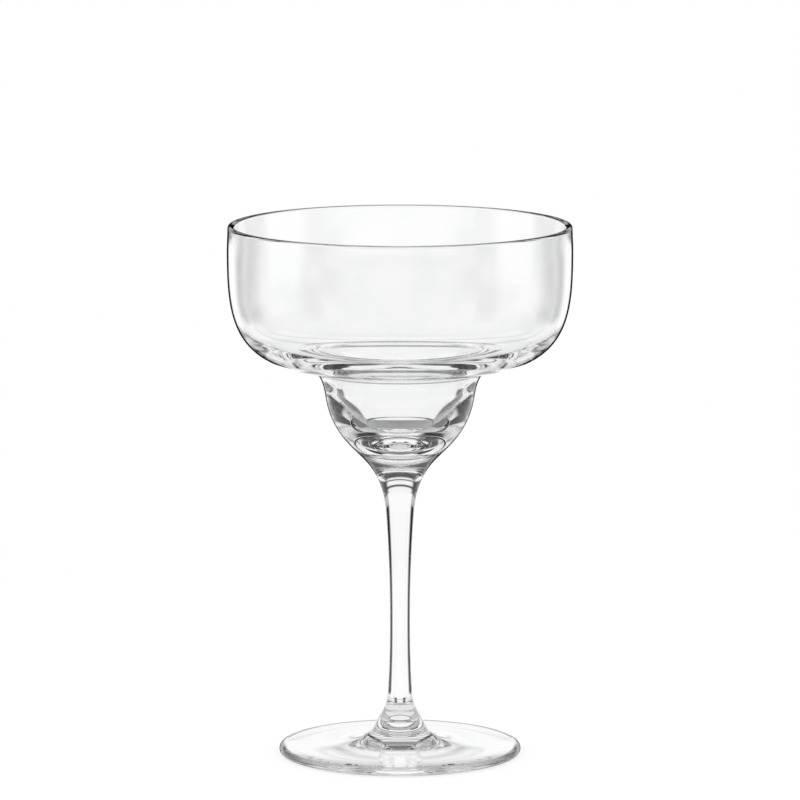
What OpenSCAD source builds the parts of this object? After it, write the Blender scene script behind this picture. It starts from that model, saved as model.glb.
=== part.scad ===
// Stemmed margarita glass: a wide upper bowl stepped into a small lower cup,
// a drawn stem and a spun foot, hot joined at two flat seams.
// Origin on the axis at the table, +Z up, millimetres.

/* [Heights] */
// Foot, from the table up to its seam with the stem
foot_h = 14.8; // [12:0.1:20]
// Stem, from the foot seam up to the cup seam
stem_l = 86.2; // [70:0.1:110]
// Lower cup, from the stem seam up to the underside of the upper bowl
cup_h = 27.75; // [24:0.05:34]
// Upper bowl, from its underside up to the rim
bowl_h = 46.25; // [40:0.05:58]

/* [Upper bowl] */
// Outside diameter at the rim
rim_d = 112.3; // [104:0.1:122]
// Outside diameter at the widest place, a little below the rim
belly_d = 112.8; // [104:0.1:122]
// Depth of the widest place below the rim
belly_drop = 9.1; // [6:0.1:14]
// Diameter of the underside where it turns down towards the cup
under_d = 70.4; // [66:0.1:76]
// Slope of the underside there, down towards the cup, in degrees
under_slope = 10; // [6:1:14]
// Glass thickness at the rim, rounded over on top
rim_wall = 2; // [1.6:0.05:2.4]
// Glass thickness at the widest place
side_wall = 2.4; // [1.8:0.05:3]
// Inside diameter where the floor starts to turn down into the cup
floor_d = 54.8; // [52:0.1:60]
// Height of the inside floor there above the underside
floor_rise = 2; // [1.8:0.05:3]
// Slope of the inside floor there, down towards the cup, in degrees
floor_slope = 8; // [7:1:12]

/* [Lower cup] */
// Outside diameter of the neck below the step
neck_d = 48.85; // [47:0.05:51]
// Depth of the neck below the underside
neck_drop = 9.75; // [8.5:0.05:11]
// Inside diameter of the cup at its mouth
dish_d = 43.5; // [41:0.1:45]
// Depth of the cup's mouth below the underside
dish_drop = 8.05; // [7:0.05:9]
// Glass thickness from the bottom of the cup down to the stem seam
cup_floor = 2.5; // [2:0.05:5]

/* [Stem] */
// Diameter of the seam between the cup and the stem
cup_seam_d = 29.8; // [27:0.1:32]
// Length of the flared head below that seam
head_l = 21; // [18:0.1:26]
// Diameter at the bottom of the flared head
head_d = 9.05; // [8:0.05:10]
// Diameter at the thinnest place
waist_d = 6.6; // [6:0.05:7.6]
// Height of the thinnest place above the foot seam
waist_up = 30.2; // [26:0.1:36]
// Length of the flare at the bottom of the stem
tail_l = 7.3; // [6:0.1:9]
// Diameter at the top of that flare
tail_d = 7.75; // [7.65:0.05:8.6]

/* [Foot] */
// Outside diameter of the foot
foot_d = 79.4; // [70:0.1:90]
// Diameter of the seam between the stem and the foot
foot_seam_d = 10.4; // [9.6:0.1:12]
// Thickness of the foot at its rounded edge
edge_h = 3; // [2.4:0.05:3.6]
// Diameter at which the flare has run out into the foot
flare_d = 27; // [24:0.1:32]
// Height of the foot's top at that diameter
flare_h = 4.9; // [4.3:0.05:5.6]
// Inside diameter of the flat ring that the foot rests on
ring_in_d = 66; // [60:0.1:68]
// Outside diameter of that ring
ring_out_d = 74; // [71:0.1:75]
// Height of the hollow under the middle of the foot
hollow_h = 1.8; // [1.2:0.05:2.4]

/* [Hidden] */

// Points along each curve
steps = 18;
// Sides of each round
round_fn = 160;

// Directions of travel along the outlines, in degrees from +X
up = 90;
down = -90;
outward = 0;
inward = 180;
rim_lean = -89;
neck_turn = -98;
dish_rise = 78;
cup_turn = -135;
head_turn = -94;
tail_turn = -87;
flare_turn = -58;
flare_out_turn = -14;
edge_turn = -3;

// Reach of each curve's handles, as shares of the distance between its ends
straight_shares = [1 / 3, 1 / 3];
belly_shares = [0.42, 0.48];
step_shares = [0.1, 0.85];
cup_shares = [0.5, 0.18];
head_shares = [0.25, 0.54];
taper_shares = [0.45, 0.2];
tail_shares = [0.36, 0.39];
end_shares = [0.4, 0.3];
flare_shares = [0.5, 0.42];
dish_shares = [0.5, 0.2];
lip_shares = [0.3, 0.1];
shoulder_shares = [0.6, 0.54];
ring_shares = [0.3, 0.6];
hollow_shares = [0.35, 0.4];

// Levels along the axis
foot_seam_z = foot_h;
cup_seam_z = foot_seam_z + stem_l;
under_z = cup_seam_z + cup_h;
glass_h = under_z + bowl_h;
rim_z = glass_h - rim_wall / 2;
belly_z = glass_h - belly_drop;
neck_z = under_z - neck_drop;
head_z = cup_seam_z - head_l;
waist_z = foot_seam_z + waist_up;
tail_z = foot_seam_z + tail_l;
cup_floor_z = cup_seam_z + cup_floor;

// Radii
rim_r = rim_d / 2;
belly_r = belly_d / 2;
under_r = under_d / 2;
neck_r = neck_d / 2;
cup_seam_r = cup_seam_d / 2;
head_r = head_d / 2;
waist_r = waist_d / 2;
tail_r = tail_d / 2;
foot_seam_r = foot_seam_d / 2;
foot_r = foot_d / 2;

// A unit vector in a direction given in degrees
function heading(angle) = [cos(angle), sin(angle)];

// Points of a smooth curve that leaves a along angle_a and reaches b along angle_b
function curve(a, angle_a, b, angle_b, shares) =
    let (reach = norm(b - a),
         p = a + heading(angle_a) * reach * shares[0],
         q = b - heading(angle_b) * reach * shares[1])
    [for (i = [0:steps])
        let (t = i / steps, u = 1 - t)
        a * pow(u, 3) + p * 3 * u * u * t + q * 3 * u * t * t + b * pow(t, 3)];

// Points of an arc about a centre, from one angle to another
function arc(centre, r, from, to) =
    [for (i = [0:steps]) centre + heading(from + (to - from) * i / steps) * r];

// A list of points without its first one, to follow a curve that ends there
function after(points) = [for (i = [1:len(points) - 1]) points[i]];

// Outside of the bowl and cup, from the rim down to the stem seam
bowl_outside = concat(
    curve([rim_r, rim_z], rim_lean, [belly_r, belly_z], down, straight_shares),
    after(curve([belly_r, belly_z], down, [under_r, under_z], inward + under_slope, belly_shares)),
    after(curve([under_r, under_z], inward + under_slope, [neck_r, neck_z], neck_turn, step_shares)),
    after(curve([neck_r, neck_z], neck_turn, [cup_seam_r, cup_seam_z], cup_turn, cup_shares)));

// Inside of the bowl and cup, from the bottom of the cup up to the rim
mouth = [dish_d / 2, under_z - dish_drop];
floor_edge = [floor_d / 2, under_z + floor_rise];
belly_inside = [belly_r - side_wall, belly_z];
bowl_inside = concat(
    curve([0, cup_floor_z], outward, mouth, dish_rise, dish_shares),
    after(curve(mouth, dish_rise, floor_edge, floor_slope, lip_shares)),
    after(curve(floor_edge, floor_slope, belly_inside, up, shoulder_shares)),
    after(curve(belly_inside, up, [rim_r - rim_wall, rim_z], -rim_lean, straight_shares)));

// The rounded top of the rim, from inside to outside
rim_top = arc([rim_r - rim_wall / 2, rim_z], rim_wall / 2, 180, 0);

module bowl() {
    color("#f2f5f6", 0.35)
    rotate_extrude($fn = round_fn)
    polygon(concat(bowl_inside, after(rim_top), after(bowl_outside), [[0, cup_seam_z]]));
}

module stem() {
    color("#eef2f4", 0.35)
    rotate_extrude($fn = round_fn)
    polygon(concat([[0, cup_seam_z]],
        curve([cup_seam_r, cup_seam_z], cup_turn, [head_r, head_z], head_turn, head_shares),
        after(curve([head_r, head_z], head_turn, [waist_r, waist_z], down, taper_shares)),
        after(curve([waist_r, waist_z], down, [tail_r, tail_z], tail_turn, tail_shares)),
        after(curve([tail_r, tail_z], tail_turn, [foot_seam_r, foot_seam_z], flare_turn, end_shares)),
        [[0, foot_seam_z]]));
}

module foot() {
    edge_r = edge_h / 2;
    top_edge = [foot_r - edge_r, edge_h];
    color("#e9eef1", 0.35)
    rotate_extrude($fn = round_fn)
    polygon(concat([[0, foot_seam_z]],
        curve([foot_seam_r, foot_seam_z], flare_turn, [flare_d / 2, flare_h], flare_out_turn,
            flare_shares),
        after(curve([flare_d / 2, flare_h], flare_out_turn, top_edge, edge_turn, straight_shares)),
        after(arc([foot_r - edge_r, edge_r], edge_r, 90, 0)),
        after(curve([foot_r, edge_r], down, [ring_out_d / 2, 0], inward, ring_shares)),
        curve([ring_in_d / 2, 0], inward, [0, hollow_h], inward, hollow_shares)));
}

bowl();
stem();
foot();
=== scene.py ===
"""Dresses the margarita glass: a blown bowl, a drawn stem and a spun foot in clear glass."""

import logging
import math
from dataclasses import dataclass, replace
from enum import Enum
from typing import ClassVar

import bmesh
import bpy
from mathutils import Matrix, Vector


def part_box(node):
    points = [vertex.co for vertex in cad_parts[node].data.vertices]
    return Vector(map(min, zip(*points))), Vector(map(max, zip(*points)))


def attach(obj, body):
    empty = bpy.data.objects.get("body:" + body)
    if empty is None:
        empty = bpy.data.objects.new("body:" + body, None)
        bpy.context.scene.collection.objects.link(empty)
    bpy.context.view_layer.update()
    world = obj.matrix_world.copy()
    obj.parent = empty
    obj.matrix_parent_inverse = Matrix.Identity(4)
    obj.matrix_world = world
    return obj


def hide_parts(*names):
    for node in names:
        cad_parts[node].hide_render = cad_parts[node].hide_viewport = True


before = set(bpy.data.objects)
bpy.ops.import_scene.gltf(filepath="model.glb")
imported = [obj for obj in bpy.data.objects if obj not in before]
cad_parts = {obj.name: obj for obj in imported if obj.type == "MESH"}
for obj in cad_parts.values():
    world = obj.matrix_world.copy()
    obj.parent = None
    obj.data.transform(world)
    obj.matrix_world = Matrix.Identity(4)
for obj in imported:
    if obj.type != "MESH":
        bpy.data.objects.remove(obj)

log = logging.getLogger("margarita_glass")

BODY = "root"

# What a colour, a point of an outline and the shares of a curve's handles are
Colour = tuple[float, float, float, float]
Point = tuple[float, float]
Shares = tuple[float, float]

WHITE: Colour = (1.0, 1.0, 1.0, 1.0)

# Directions of travel along an outline, in degrees from outward
UP = 90.0
DOWN = -90.0
OUTWARD = 0.0
INWARD = 180.0

# Handles of a curve that stays close to a straight line
STRAIGHT: Shares = (1 / 3, 1 / 3)

# Points along each curve of an outline, and sides of each round
CURVE_STEPS = 24
ROUND_SIDES = 256

# Distance in metres below which two points, or a point and a seam, are together
MERGE_REACH = 1e-7

# How often light may bounce in the glass, and how often off it
GLASS_BOUNCES = 32
GLOSSY_BOUNCES = 24


class Slot(Enum):
    """The record's material slots."""

    BOWL = "bowl_glass"
    STEM = "stem_glass"
    FOOT = "foot_glass"


class Finish(Enum):
    """What a face of a piece shows, as its material's place on the piece."""

    # Faces whose glass carries the painted shade line at its edges
    EDGED = 0
    SEAM = 1
    PLAIN = 2


class Socket:
    """A shader socket that Python's arithmetic works on, adding Math nodes."""

    def __init__(self, graph: "Graph", output: bpy.types.NodeSocket) -> None:
        """Wraps one output socket of a graph."""
        self.graph = graph
        self.output = output

    def math(self, operation: str, *values: "Socket | float") -> "Socket":
        """Adds one Math node with this socket first."""
        return self.graph.math(operation, self, *values)

    def __sub__(self, other: "Socket | float") -> "Socket":
        """Difference."""
        return self.graph.math("SUBTRACT", self, other)

    def __rsub__(self, other: float) -> "Socket":
        """Difference, with the number first."""
        return self.graph.math("SUBTRACT", other, self)

    def __mul__(self, other: "Socket | float") -> "Socket":
        """Product."""
        return self.graph.math("MULTIPLY", self, other)

    def __rmul__(self, other: float) -> "Socket":
        """Product, with the number first."""
        return self.graph.math("MULTIPLY", other, self)


class Graph:
    """The node tree of a material or of the world."""

    def __init__(self, owner: bpy.types.Material | bpy.types.World) -> None:
        """Empties the owner's node tree and keeps it.

        Args:
            owner: the material or world.
        """
        owner.use_nodes = True
        self.tree = owner.node_tree
        self.tree.nodes.clear()

    def add(
        self, kind: str, settings: dict[str, object] | None = None, **inputs: object
    ) -> bpy.types.Node:
        """Adds one node.

        Args:
            kind: the node's type.
            settings: the node's own properties, set before its sockets.
            inputs: values or links by socket name, with _ for a space.

        Returns:
            The new node.
        """
        node = self.tree.nodes.new(kind)
        for name, value in (settings or {}).items():
            setattr(node, name, value)
        for name, value in inputs.items():
            self.feed(node.inputs[name.replace("_", " ")], value)
        return node

    def feed(self, socket: bpy.types.NodeSocket, value: object) -> None:
        """Links an output to a socket, or sets the socket's value.

        Args:
            socket: the input socket.
            value: a wrapped output, a plain output or a value.
        """
        source = value.output if isinstance(value, Socket) else value
        if isinstance(source, bpy.types.NodeSocket):
            self.tree.links.new(source, socket)
        else:
            socket.default_value = source

    def out(self, node: bpy.types.Node, name: str) -> Socket:
        """Wraps a node's named output."""
        return Socket(self, node.outputs[name])

    def math(self, operation: str, *values: Socket | float) -> Socket:
        """Adds one Math node.

        Args:
            operation: the Math node's operation.
            values: its inputs in order.

        Returns:
            The node's result.
        """
        node = self.add("ShaderNodeMath", {"operation": operation})
        for socket, value in zip(node.inputs, values):
            self.feed(socket, value)
        return self.out(node, "Value")

    def smooth(
        self, value: Socket, start: float, end: float, low: float = 0.0, high: float = 1.0
    ) -> Socket:
        """Goes smoothly from low to high while a value goes from start to end.

        Args:
            value: what is read.
            start: where the change begins.
            end: where it is complete.
            low: the result up to start.
            high: the result past end.

        Returns:
            The result.
        """
        node = self.add(
            "ShaderNodeMapRange",
            {"interpolation_type": "SMOOTHSTEP"},
            Value=value,
            From_Min=start,
            From_Max=end,
            To_Min=low,
            To_Max=high,
        )
        return self.out(node, "Result")

    def noise(self, where: Socket, scale: float, detail: float) -> Socket:
        """A noise from 0 to 1, with its fineness per metre and how many finer ones are over it."""
        node = self.add("ShaderNodeTexNoise", Vector=where, Scale=scale, Detail=detail)
        return self.out(node, "Fac")

    def mix(
        self, share: Socket, first: bpy.types.NodeSocket, second: bpy.types.NodeSocket
    ) -> bpy.types.NodeSocket:
        """Goes from one shader to another.

        Args:
            share: how much of the second shader shows, from 0 to 1.
            first: the first shader.
            second: the second shader.

        Returns:
            The shader of both.
        """
        node = self.add("ShaderNodeMixShader", Fac=share)
        self.feed(node.inputs[1], first)
        self.feed(node.inputs[2], second)
        return node.outputs["Shader"]


class Outline:
    """Half of a turned piece's section, as (radius, height) points joined by curves and arcs."""

    def __init__(self, radius: float, height: float) -> None:
        """Starts the outline at a point."""
        self.points = [Vector((radius, height))]

    def curve(
        self, to: Point, leave: float, arrive: float, shares: Shares = STRAIGHT
    ) -> "Outline":
        """Adds a smooth curve.

        Args:
            to: where it ends.
            leave: the direction it leaves in, in degrees.
            arrive: the direction it arrives in, in degrees.
            shares: the reach of its two handles, as shares of the distance between its ends.

        Returns:
            The outline itself.
        """
        start, end = self.points[-1].copy(), Vector(to)
        reach = (end - start).length
        first = start + heading(leave) * reach * shares[0]
        second = end - heading(arrive) * reach * shares[1]
        for i in range(1, CURVE_STEPS + 1):
            t = i / CURVE_STEPS
            u = 1 - t
            self.points.append(
                start * u**3 + first * 3 * u * u * t + second * 3 * u * t * t + end * t**3
            )
        return self

    def arc(self, centre: Point, begin: float, end: float) -> "Outline":
        """Adds an arc that starts at the last point.

        Args:
            centre: the arc's centre.
            begin: the angle of the last point about the centre, in degrees.
            end: the angle where the arc ends, in degrees.

        Returns:
            The outline itself.
        """
        middle = Vector(centre)
        radius = (self.points[-1] - middle).length
        for i in range(1, CURVE_STEPS + 1):
            self.points.append(middle + heading(begin + (end - begin) * i / CURVE_STEPS) * radius)
        return self

    def line(self, radius: float, height: float) -> "Outline":
        """Adds a straight line to a point."""
        self.points.append(Vector((radius, height)))
        return self

    def spin(self) -> bmesh.types.BMesh:
        """Turns the outline round the axis.

        Returns:
            The closed shell, with its faces outward.
        """
        shell = bmesh.new()
        ring = [shell.verts.new((point.x, 0, point.y)) for point in self.points]
        edges = [shell.edges.new(pair) for pair in zip(ring, ring[1:])]
        bmesh.ops.spin(
            shell,
            geom=ring + edges,
            cent=(0, 0, 0),
            axis=(0, 0, 1),
            angle=math.tau,
            steps=ROUND_SIDES,
            use_merge=True,
        )
        bmesh.ops.remove_doubles(shell, verts=shell.verts, dist=MERGE_REACH)
        bmesh.ops.recalc_face_normals(shell, faces=shell.faces)
        return shell


def heading(angle: float) -> Vector:
    """A unit vector in a direction given in degrees."""
    return Vector((math.cos(math.radians(angle)), math.sin(math.radians(angle))))


def place(name: str, shell: bmesh.types.BMesh) -> bpy.types.Object:
    """Puts a finished shell into the scene and frees it.

    Args:
        name: the object's name.
        shell: the finished shell.

    Returns:
        The new object.
    """
    mesh = bpy.data.meshes.new(name)
    shell.to_mesh(mesh)
    shell.free()
    placed = bpy.data.objects.new(name, mesh)
    bpy.context.scene.collection.objects.link(placed)
    return placed


@dataclass(frozen=True)
class PaintedEdgeShade:
    """Painted shade: a near-black line laid over the glass where it is seen edge on.

    Attributes:
        colour: colour of the painted shade line.
        start: how far the surface is turned away where the line begins, from 0 to 1.
        end: how far it is turned away where the line is complete.
        blend: how that is counted, where 0.5 goes by the cosine of the angle.
    """

    colour: Colour = (0.004, 0.004, 0.004, 1.0)
    start: float = 0.83
    end: float = 0.88
    blend: float = 0.5

    def over(self, graph: Graph, body: bpy.types.NodeSocket) -> bpy.types.NodeSocket:
        """Lays the painted shade line over the glass.

        Args:
            graph: the material's graph.
            body: the glass's shader.

        Returns:
            The shader of both.
        """
        # Painted shade: a dark matt surface mixed in as the surface turns edge on to the view
        dark = graph.add(
            "ShaderNodeBsdfPrincipled",
            Base_Color=self.colour,
            Roughness=1.0,
            Specular_IOR_Level=0.0,
        )
        turned = graph.out(graph.add("ShaderNodeLayerWeight", Blend=self.blend), "Facing")
        return graph.mix(graph.smooth(turned, self.start, self.end), body, dark.outputs["BSDF"])


@dataclass(frozen=True)
class ClearGlass:
    """Polished clear glass with the faint ripple and bloom of hand work.

    Attributes:
        name: the material's name.
        edge: the painted dark shade line where it is seen edge on, if it shows one.
        clear: colour of the clearest glass.
        tinted: colour where the melt is a little denser.
        cord_scale: how fine the denser streaks are, per metre.
        cord_detail: how many finer streaks are laid over them.
        cord_range: where in the streaks' noise the tint begins and is complete.
        ripple_scale: how fine the surface ripple is, per metre.
        ripple_detail: how many finer ripples are laid over it.
        ripple_depth: depth of the ripple in metres.
        bloom: roughness of the dullest places.
        bloom_range: where in the ripple's noise the dulling begins and is complete.
        index: refractive index.
    """

    name: str
    edge: PaintedEdgeShade | None = None
    clear: Colour = WHITE
    tinted: Colour = (0.975, 0.985, 0.984, 1.0)
    cord_scale: float = 60.0
    cord_detail: float = 2.0
    cord_range: tuple[float, float] = (0.42, 0.66)
    ripple_scale: float = 26.0
    ripple_detail: float = 1.0
    ripple_depth: float = 0.000004
    bloom: float = 0.01
    bloom_range: tuple[float, float] = (0.45, 0.7)
    index: float = 1.5

    def material(self) -> bpy.types.Material:
        """Builds the glass.

        Returns:
            The new material.
        """
        glass = bpy.data.materials.new(self.name)
        graph = Graph(glass)
        where = graph.out(graph.add("ShaderNodeTexCoord"), "Object")
        streaks = graph.noise(where, self.cord_scale, self.cord_detail)
        ripple = graph.noise(where, self.ripple_scale, self.ripple_detail)
        tint = graph.add("ShaderNodeMix", {"data_type": "RGBA"})
        graph.feed(tint.inputs["Factor"], graph.smooth(streaks, *self.cord_range))
        graph.feed(tint.inputs["A"], self.clear)
        graph.feed(tint.inputs["B"], self.tinted)
        bump = graph.add("ShaderNodeBump", Height=ripple, Distance=self.ripple_depth)
        body = graph.add(
            "ShaderNodeBsdfPrincipled",
            Base_Color=tint.outputs["Result"],
            Roughness=graph.smooth(ripple, *self.bloom_range, 0.0, self.bloom),
            Normal=bump.outputs["Normal"],
            IOR=self.index,
            Transmission_Weight=1.0,
        )
        surface = body.outputs["BSDF"]
        if self.edge:
            surface = self.edge.over(graph, surface)
        graph.add("ShaderNodeOutputMaterial", Surface=surface)
        return glass


@dataclass(frozen=True)
class FusedSeam:
    """The flat faces where two pieces are melted together. Light crosses them freely.

    Attributes:
        name: the material's name.
    """

    name: str = "fused_seam"

    def material(self) -> bpy.types.Material:
        """Builds the see-through seam.

        Returns:
            The new material.
        """
        seam = bpy.data.materials.new(self.name)
        graph = Graph(seam)
        surface = graph.add("ShaderNodeBsdfPrincipled", Alpha=0.0)
        graph.add("ShaderNodeOutputMaterial", Surface=surface.outputs["BSDF"])
        return seam


class Piece:
    """A piece of glass turned round the axis, which stands for one node.

    Attributes:
        name: the piece's name.
        node: the node that it stands for.
        slot: the record's slot for the piece; not used.
        glass: the name of its finish.
    """

    name: ClassVar[str]
    node: ClassVar[str]
    slot: ClassVar[Slot]
    glass: ClassVar[str]

    def outline(self) -> Outline:
        """Half of the piece's section."""
        raise NotImplementedError

    def seams(self) -> tuple[float, ...]:
        """Heights of the flat faces where the glass runs on into the next piece."""
        raise NotImplementedError

    def shows_painted_edge_shade(self, face: bmesh.types.BMFace) -> bool:
        """Whether a face carries the painted dark edge line."""
        raise NotImplementedError

    def finish(self, face: bmesh.types.BMFace) -> Finish:
        """Works out what a face shows.

        Args:
            face: a face of the turned piece.

        Returns:
            The face's finish.
        """
        for height in self.seams():
            if all(abs(corner.co.z - height) < MERGE_REACH for corner in face.verts):
                return Finish.SEAM
        return Finish.EDGED if self.shows_painted_edge_shade(face) else Finish.PLAIN

    def build(self) -> bpy.types.Object:
        """Turns the piece and sorts its faces by finish.

        Returns:
            The piece's object, still without its materials.
        """
        shell = self.outline().spin()
        for face in shell.faces:
            finish = self.finish(face)
            face.smooth = finish is not Finish.SEAM
            face.material_index = finish.value
        return place(self.name, shell)

    def dress(self, piece: bpy.types.Object, seam: bpy.types.Material) -> None:
        """Gives the piece its finishes and lets it stand for its node.

        Args:
            piece: the piece's object.
            seam: the material of its seam faces.
        """
        finishes = {
            # The outer glass carries the painted dark edge line; the inside glass doesn't
            Finish.EDGED: ClearGlass(self.glass, edge=PaintedEdgeShade()).material(),
            Finish.SEAM: seam,
            Finish.PLAIN: ClearGlass(self.glass + "_inside").material(),
        }
        for finish in Finish:
            piece.data.materials.append(finishes[finish])
        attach(piece, BODY)
        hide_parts(self.node)
        log.info("%s: %d faces, stands for %s", piece.name, len(piece.data.polygons), self.node)


@dataclass
class Bowl(Piece):
    """The wide upper bowl, stepped into the small lower cup, in metres and degrees.

    Attributes:
        lying: how flat an outside face may lie and still carry the painted dark edge line, from 0
            to 1.
        seam_z: height of the seam with the stem.
        top_z: height of the rim.
        belly_r: outside radius at the widest place.
        rim_d: outside diameter at the rim.
        cup_h: height of the cup, from the seam up to the underside of the bowl.
        belly_drop: depth of the widest place below the rim.
        under_d: diameter of the underside where it turns down towards the cup.
        under_slope: slope of the underside there.
        rim_wall: thickness at the rim.
        side_wall: thickness at the widest place.
        floor_d: inside diameter where the floor starts to turn down into the cup.
        floor_rise: height of the floor there above the underside.
        floor_slope: slope of the floor there.
        neck_d: outside diameter of the neck below the step.
        neck_drop: depth of the neck below the underside.
        dish_d: inside diameter of the cup at its mouth.
        dish_drop: depth of the cup's mouth below the underside.
        cup_floor: thickness from the bottom of the cup down to the seam.
        seam_d: diameter of the seam.
        rim_lean: steepness of the wall at the rim, where 90 is upright.
        neck_turn: direction of the outside at the neck, going up.
        cup_turn: direction of the outside at the seam, going up.
        dish_fall: direction of the inside at the cup's mouth, going down.
        belly_shares: handles from the underside up to the widest place.
        step_shares: handles from the neck up to the underside.
        cup_shares: handles from the seam up to the neck.
        shoulder_shares: handles from the widest place down to the floor.
        lip_shares: handles from the floor down to the cup's mouth.
        dish_shares: handles from the cup's mouth down to its bottom.
    """

    name: ClassVar[str] = "bowl_body"
    node: ClassVar[str] = "bowl"
    slot: ClassVar[Slot] = Slot.BOWL
    glass: ClassVar[str] = "blown_glass"
    lying: ClassVar[float] = 0.9

    seam_z: float
    top_z: float
    belly_r: float
    rim_d: float = 0.1123
    cup_h: float = 0.02775
    belly_drop: float = 0.0091
    under_d: float = 0.0704
    under_slope: float = 10.0
    rim_wall: float = 0.002
    side_wall: float = 0.0024
    floor_d: float = 0.0548
    floor_rise: float = 0.002
    floor_slope: float = 8.0
    neck_d: float = 0.04885
    neck_drop: float = 0.00975
    dish_d: float = 0.0435
    dish_drop: float = 0.00805
    cup_floor: float = 0.0025
    seam_d: float = 0.0298
    rim_lean: float = 89.0
    neck_turn: float = 82.0
    cup_turn: float = 45.0
    dish_fall: float = -102.0
    belly_shares: Shares = (0.48, 0.42)
    step_shares: Shares = (0.85, 0.1)
    cup_shares: Shares = (0.18, 0.5)
    shoulder_shares: Shares = (0.54, 0.6)
    lip_shares: Shares = (0.1, 0.3)
    dish_shares: Shares = (0.2, 0.5)

    def outline(self) -> Outline:
        """Draws the bowl from the seam up the outside and down the inside.

        Returns:
            The bowl's outline.
        """
        under_z = self.seam_z + self.cup_h
        belly_z = self.top_z - self.belly_drop
        bead = self.rim_wall / 2
        bead_z = self.top_z - bead
        rim_r = self.rim_d / 2
        neck = (self.neck_d / 2, under_z - self.neck_drop)
        under = (self.under_d / 2, under_z)
        floor = (self.floor_d / 2, under_z + self.floor_rise)
        mouth = (self.dish_d / 2, under_z - self.dish_drop)
        bottom = (0, self.seam_z + self.cup_floor)
        floor_turn = INWARD + self.floor_slope
        outline = Outline(0, self.seam_z).line(self.seam_d / 2, self.seam_z)
        outline.curve(neck, self.cup_turn, self.neck_turn, self.cup_shares)
        outline.curve(under, self.neck_turn, self.under_slope, self.step_shares)
        outline.curve((self.belly_r, belly_z), self.under_slope, UP, self.belly_shares)
        outline.curve((rim_r, bead_z), UP, INWARD - self.rim_lean)
        outline.arc((rim_r - bead, bead_z), OUTWARD, INWARD)
        outline.curve((self.belly_r - self.side_wall, belly_z), self.rim_lean - INWARD, DOWN)
        outline.curve(floor, DOWN, floor_turn, self.shoulder_shares)
        outline.curve(mouth, floor_turn, self.dish_fall, self.lip_shares)
        return outline.curve(bottom, self.dish_fall, INWARD, self.dish_shares)

    def seams(self) -> tuple[float, ...]:
        """The seam with the stem."""
        return (self.seam_z,)

    def shows_painted_edge_shade(self, face: bmesh.types.BMFace) -> bool:
        """Whether a face is on the rim, or on the outside where it doesn't lie nearly flat.

        Args:
            face: a face of the bowl.

        Returns:
            Whether it carries the painted dark edge line.
        """
        middle = face.calc_center_median()
        on_rim = middle.z > self.top_z - self.rim_wall / 2
        return on_rim or (face.normal.xy.dot(middle.xy) > 0 and abs(face.normal.z) < self.lying)


@dataclass
class Stem(Piece):
    """The drawn stem, flared at both ends, in metres and degrees.

    Attributes:
        bottom_z: height of the seam with the foot.
        top_z: height of the seam with the cup.
        top_d: diameter of the seam with the cup.
        head_l: length of the flared head.
        head_d: diameter at the bottom of the flared head.
        waist_up: height of the thinnest place above the seam with the foot.
        waist_d: diameter at the thinnest place.
        tail_l: length of the flare at the bottom.
        tail_d: diameter at the top of that flare.
        bottom_d: diameter of the seam with the foot.
        head_turn: direction of the side at the bottom of the head, going up.
        top_turn: direction of the side at the seam with the cup, going up.
        tail_turn: direction of the side at the top of the bottom flare, going up.
        bottom_turn: direction of the side at the seam with the foot, going up.
        end_shares: handles up the bottom flare.
        tail_shares: handles from there up to the thinnest place.
        taper_shares: handles from the thinnest place up to the head.
        head_shares: handles up the head.
    """

    name: ClassVar[str] = "stem_body"
    node: ClassVar[str] = "stem"
    slot: ClassVar[Slot] = Slot.STEM
    glass: ClassVar[str] = "drawn_glass"

    bottom_z: float
    top_z: float
    top_d: float = 0.0298
    head_l: float = 0.021
    head_d: float = 0.00905
    waist_up: float = 0.0302
    waist_d: float = 0.0066
    tail_l: float = 0.0073
    tail_d: float = 0.00775
    bottom_d: float = 0.0104
    head_turn: float = 86.0
    top_turn: float = 45.0
    tail_turn: float = 93.0
    bottom_turn: float = 122.0
    end_shares: Shares = (0.3, 0.4)
    tail_shares: Shares = (0.39, 0.36)
    taper_shares: Shares = (0.2, 0.45)
    head_shares: Shares = (0.54, 0.25)

    def outline(self) -> Outline:
        """Draws the stem upward.

        Returns:
            The stem's outline.
        """
        tail = (self.tail_d / 2, self.bottom_z + self.tail_l)
        waist = (self.waist_d / 2, self.bottom_z + self.waist_up)
        head = (self.head_d / 2, self.top_z - self.head_l)
        top = (self.top_d / 2, self.top_z)
        outline = Outline(0, self.bottom_z).line(self.bottom_d / 2, self.bottom_z)
        outline.curve(tail, self.bottom_turn, self.tail_turn, self.end_shares)
        outline.curve(waist, self.tail_turn, UP, self.tail_shares)
        outline.curve(head, UP, self.head_turn, self.taper_shares)
        outline.curve(top, self.head_turn, self.top_turn, self.head_shares)
        return outline.line(0, self.top_z)

    def seams(self) -> tuple[float, ...]:
        """The seams with the foot and the cup."""
        return self.bottom_z, self.top_z

    def shows_painted_edge_shade(self, face: bmesh.types.BMFace) -> bool:
        """Every face of the stem may be seen edge on, so all carry the painted dark edge line."""
        return True


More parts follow.
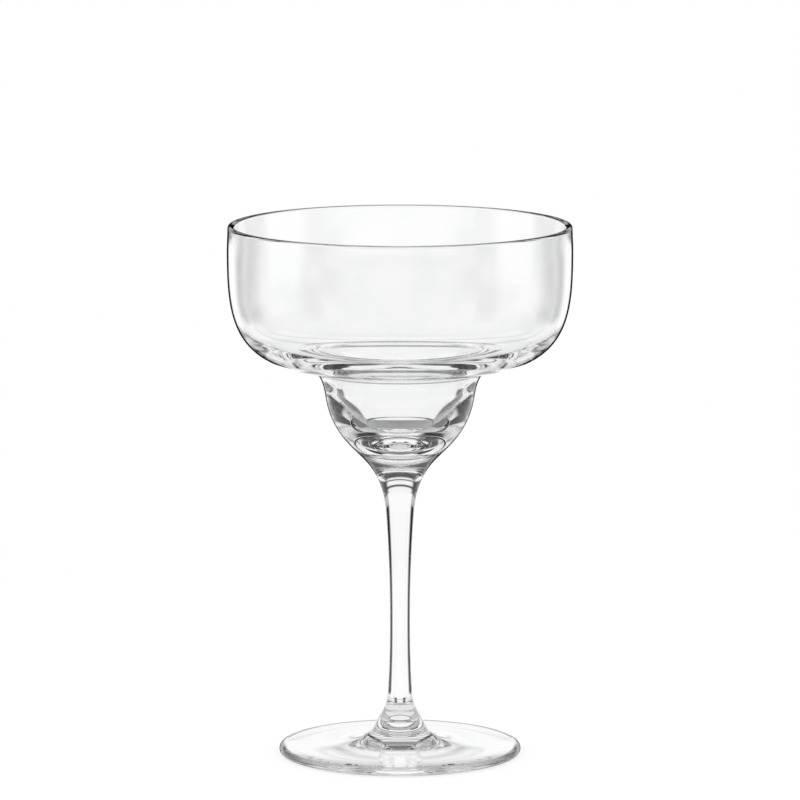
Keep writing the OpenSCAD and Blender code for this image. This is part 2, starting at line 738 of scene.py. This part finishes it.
@dataclass
class Foot(Piece):
    """The spun foot, with a shallow hollow under it, in metres and degrees.

    Attributes:
        rim_depth: how far in from its edge the foot carries the painted dark edge line.
        seam_z: height of the seam with the stem.
        foot_r: outside radius of the foot.
        seam_d: diameter of the seam.
        edge_h: thickness at the rounded edge.
        flare_d: diameter at which the flare has run out.
        flare_h: height of the foot's top there.
        ring_in_d: inside diameter of the flat ring that the foot rests on.
        ring_out_d: outside diameter of that ring.
        hollow_h: height of the hollow under the middle.
        flare_turn: direction of the top at the seam, going inward and up.
        flare_out_turn: direction of the top where the flare has run out.
        edge_turn: direction of the top at the edge.
        hollow_shares: handles from the middle of the hollow out to the ring.
        ring_shares: handles from the ring out to the edge.
        flare_shares: handles up the flare.
    """

    name: ClassVar[str] = "foot_body"
    node: ClassVar[str] = "foot"
    slot: ClassVar[Slot] = Slot.FOOT
    glass: ClassVar[str] = "spun_glass"
    rim_depth: ClassVar[float] = 0.0018

    seam_z: float
    foot_r: float
    seam_d: float = 0.0104
    edge_h: float = 0.003
    flare_d: float = 0.027
    flare_h: float = 0.0049
    ring_in_d: float = 0.066
    ring_out_d: float = 0.074
    hollow_h: float = 0.0018
    flare_turn: float = 122.0
    flare_out_turn: float = 166.0
    edge_turn: float = 177.0
    hollow_shares: Shares = (0.4, 0.35)
    ring_shares: Shares = (0.6, 0.3)
    flare_shares: Shares = (0.42, 0.5)

    def outline(self) -> Outline:
        """Draws the foot from the hollow outward, over the edge and up the flare.

        Returns:
            The foot's outline.
        """
        edge = self.edge_h / 2
        flare = (self.flare_d / 2, self.flare_h)
        seam = (self.seam_d / 2, self.seam_z)
        outline = Outline(0, self.hollow_h)
        outline.curve((self.ring_in_d / 2, 0), OUTWARD, OUTWARD, self.hollow_shares)
        outline.line(self.ring_out_d / 2, 0)
        outline.curve((self.foot_r, edge), OUTWARD, UP, self.ring_shares)
        outline.arc((self.foot_r - edge, edge), OUTWARD, UP)
        outline.curve(flare, self.edge_turn, self.flare_out_turn)
        outline.curve(seam, self.flare_out_turn, self.flare_turn, self.flare_shares)
        return outline.line(0, self.seam_z)

    def seams(self) -> tuple[float, ...]:
        """The seam with the stem."""
        return (self.seam_z,)

    def shows_painted_edge_shade(self, face: bmesh.types.BMFace) -> bool:
        """Whether a face is on the foot's edge, where it carries the painted dark edge line."""
        return face.calc_center_median().xy.length > self.foot_r - self.rim_depth


@dataclass(frozen=True)
class SoftBox:
    """One soft box of the studio, as seen from the glass, in degrees.

    Attributes:
        bearing: its middle, clockwise from straight behind the glass.
        half_width: from its middle to where its light starts to fall.
        edge: how far the fall takes at its sides.
        bottom: elevation of its lower edge.
        top: elevation of its upper edge.
        end: how far the fall takes at its lower and upper edges.
        strength: its light.
    """

    bearing: float
    half_width: float
    edge: float
    bottom: float
    top: float
    end: float
    strength: float

    def both_sides(self) -> tuple["SoftBox", "SoftBox"]:
        """The box and its mirror image on the other side of the glass."""
        return self, replace(self, bearing=-self.bearing)

    def glow(self, graph: Graph, bearing: Socket, height: Socket) -> Socket:
        """Works out the box's light in every direction.

        Args:
            graph: the world's graph.
            bearing: the direction's bearing in radians.
            height: the direction's elevation in radians.

        Returns:
            The box's light.
        """
        off = (bearing - math.radians(self.bearing)).math("WRAP", math.pi, -math.pi)
        side_end = math.radians(self.half_width + self.edge)
        low_start = math.radians(self.bottom - self.end)
        high_end = math.radians(self.top + self.end)
        side = graph.smooth(
            off.math("ABSOLUTE"), math.radians(self.half_width), side_end, self.strength, 0.0
        )
        low = graph.smooth(height, low_start, math.radians(self.bottom))
        high = graph.smooth(height, math.radians(self.top), high_end, 1.0, 0.0)
        return side * low * high


@dataclass(frozen=True)
class StudioLight:
    """Soft boxes round the glass with dark gaps between them, as clear glass is lit against white.

    Attributes:
        boxes: the soft boxes.
        room: light from the gaps.
    """

    boxes: tuple[SoftBox, ...] = (
        SoftBox(bearing=0, half_width=31, edge=13, bottom=-17, top=8, end=4, strength=1.0),
        SoftBox(bearing=0, half_width=24, edge=14, bottom=8, top=13, end=3, strength=0.95),
        SoftBox(bearing=0, half_width=24, edge=14, bottom=19, top=25, end=3, strength=0.95),
        SoftBox(bearing=0, half_width=24, edge=14, bottom=31, top=37, end=3, strength=0.95),
        SoftBox(bearing=0, half_width=40, edge=14, bottom=35, top=60, end=5, strength=0.3),
        SoftBox(bearing=0, half_width=9, edge=2, bottom=-37, top=-17, end=4, strength=1.0),
        SoftBox(bearing=0, half_width=40, edge=5, bottom=-19, top=-17, end=2, strength=0.95),
        SoftBox(bearing=180, half_width=159, edge=2, bottom=-34, top=-20, end=3, strength=1.0),
        SoftBox(bearing=0, half_width=75, edge=6, bottom=2, top=8, end=3, strength=0.5),
        *SoftBox(
            bearing=90, half_width=14, edge=12, bottom=-20, top=1, end=4, strength=1.0
        ).both_sides(),
        *SoftBox(
            bearing=76, half_width=3, edge=15, bottom=1, top=18, end=4, strength=0.65
        ).both_sides(),
        *SoftBox(
            bearing=103, half_width=14, edge=8, bottom=1, top=5, end=4, strength=0.75
        ).both_sides(),
        SoftBox(bearing=180, half_width=30, edge=20, bottom=-17, top=-5, end=5, strength=0.9),
        SoftBox(bearing=180, half_width=6, edge=14, bottom=-16, top=-4, end=4, strength=0.85),
        *SoftBox(
            bearing=135, half_width=6, edge=5, bottom=-19, top=-12, end=3, strength=1.0
        ).both_sides(),
        SoftBox(bearing=180, half_width=180, edge=1, bottom=42, top=90, end=9, strength=0.06),
        SoftBox(bearing=180, half_width=65, edge=20, bottom=-64, top=-38, end=5, strength=0.85),
        SoftBox(bearing=0, half_width=90, edge=20, bottom=-64, top=-38, end=5, strength=0.25),
        *SoftBox(
            bearing=65, half_width=35, edge=10, bottom=-64, top=-38, end=5, strength=0.6
        ).both_sides(),
        SoftBox(bearing=180, half_width=180, edge=1, bottom=-90, top=-70, end=4, strength=0.92),
    )
    room: float = 0.02

    def level(self, graph: Graph) -> Socket | float:
        """Works out the studio's light in every direction.

        Args:
            graph: the world's graph.

        Returns:
            The light of the brightest box there, or of the gaps.
        """
        direction = graph.add("ShaderNodeTexCoord").outputs["Generated"]
        way = graph.add("ShaderNodeSeparateXYZ", Vector=direction)
        bearing = graph.math("ARCTAN2", graph.out(way, "X"), graph.out(way, "Y"))
        height = graph.math("ARCSINE", graph.out(way, "Z"))
        level: Socket | float = self.room
        for box in self.boxes:
            level = graph.math("MAXIMUM", level, box.glow(graph, bearing, height))
        return level

    def build(self) -> bpy.types.World:
        """Builds the world: white behind the glass for the camera, soft boxes for the glass.

        Returns:
            The new world.
        """
        world = bpy.data.worlds.new("studio")
        graph = Graph(world)
        plain = graph.add("ShaderNodeBackground", Color=WHITE, Strength=1.0)
        studio = graph.add("ShaderNodeBackground", Color=WHITE, Strength=self.level(graph))
        ray = graph.add("ShaderNodeLightPath")
        glossy, through = graph.out(ray, "Is Glossy Ray"), graph.out(ray, "Is Transmission Ray")
        surface = graph.mix(
            graph.math("MAXIMUM", glossy, through),
            plain.outputs["Background"],
            studio.outputs["Background"],
        )
        graph.add("ShaderNodeOutputWorld", Surface=surface)
        return world


@dataclass(frozen=True)
class PaleFloor:
    """A round pale table top that holds the glass's soft shadow.

    Attributes:
        radius: the top's radius in metres.
        sides: the number of its sides.
        drop: how far it lies under the foot, in metres.
        glow: share of white that it gives whatever falls on it.
        colour: colour of the part that takes light and shadow.
    """

    radius: float = 0.35
    sides: int = 128
    drop: float = 0.00005
    glow: float = 0.74
    colour: Colour = (0.3, 0.3, 0.3, 1.0)

    def build(self) -> bpy.types.Object:
        """Builds the floor.

        Returns:
            The floor's object.
        """
        top = bmesh.new()
        bmesh.ops.create_circle(top, cap_ends=True, segments=self.sides, radius=self.radius)
        bmesh.ops.translate(top, verts=top.verts, vec=(0, 0, -self.drop))
        bmesh.ops.recalc_face_normals(top, faces=top.faces)
        floor = place("floor", top)
        floor.data.materials.append(self.material())
        return floor

    def material(self) -> bpy.types.Material:
        """Builds the pale finish, which only the camera sees.

        Returns:
            The new material.
        """
        pale = bpy.data.materials.new("pale_floor")
        graph = Graph(pale)
        matt = graph.add("ShaderNodeBsdfDiffuse", Color=self.colour)
        white = graph.add("ShaderNodeEmission", Color=WHITE, Strength=self.glow)
        both = graph.add("ShaderNodeAddShader")
        graph.feed(both.inputs[0], matt.outputs["BSDF"])
        graph.feed(both.inputs[1], white.outputs["Emission"])
        open_below = graph.add("ShaderNodeBsdfTransparent")
        seen = graph.out(graph.add("ShaderNodeLightPath"), "Is Camera Ray")
        surface = graph.mix(seen, open_below.outputs["BSDF"], both.outputs["Shader"])
        graph.add("ShaderNodeOutputMaterial", Surface=surface)
        return pale


@dataclass(frozen=True)
class Viewpoint:
    """The photograph's viewpoint.

    Attributes:
        distance: level distance from the glass's axis, in metres.
        height: height above the table, in metres.
        aim_height: height on the axis that the camera looks at, in metres.
        focal_pixels: focal length in pixels.
        picture: width of the picture in pixels.
        sensor: width of the sensor in millimetres.
        reach: how far the camera sees, in metres.
    """

    distance: float = 1.9602
    height: float = 0.41668
    aim_height: float = 0.11731
    focal_pixels: float = 6068.0
    picture: float = 800.0
    sensor: float = 36.0
    reach: float = 100.0

    def build(self) -> bpy.types.Object:
        """Places the camera and makes it the scene's.

        Returns:
            The camera's object.
        """
        lens = bpy.data.cameras.new("camera")
        lens.sensor_width = self.sensor
        lens.lens = self.focal_pixels / self.picture * self.sensor
        lens.clip_end = self.reach
        camera = bpy.data.objects.new("camera", lens)
        bpy.context.scene.collection.objects.link(camera)
        camera.location = (0, -self.distance, self.height)
        aim = Vector((0, 0, self.aim_height)) - camera.location
        camera.rotation_euler = aim.to_track_quat("-Z", "Y").to_euler()
        bpy.context.scene.camera = camera
        return camera


def main() -> None:
    """Builds the pieces in order, then the floor, the light and the camera."""
    logging.basicConfig(level=logging.INFO, format="%(name)s: %(message)s")
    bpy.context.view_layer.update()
    scene = bpy.context.scene
    scene.view_settings.view_transform = "Standard"
    bowl_low, bowl_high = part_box("bowl")
    stem_low, stem_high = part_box("stem")
    _, foot_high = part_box("foot")
    seam = FusedSeam().material()
    glasses = (
        Bowl(seam_z=bowl_low.z, top_z=bowl_high.z, belly_r=bowl_high.x),
        Stem(bottom_z=stem_low.z, top_z=stem_high.z),
        Foot(seam_z=foot_high.z, foot_r=foot_high.x),
    )
    for glass in glasses:
        glass.dress(glass.build(), seam)
    PaleFloor().build()
    scene.world = StudioLight().build()
    Viewpoint().build()
    scene.cycles.max_bounces = GLASS_BOUNCES
    scene.cycles.transmission_bounces = GLASS_BOUNCES
    scene.cycles.transparent_max_bounces = GLASS_BOUNCES
    scene.cycles.glossy_bounces = GLOSSY_BOUNCES


if __name__ == "__main__":
    main()
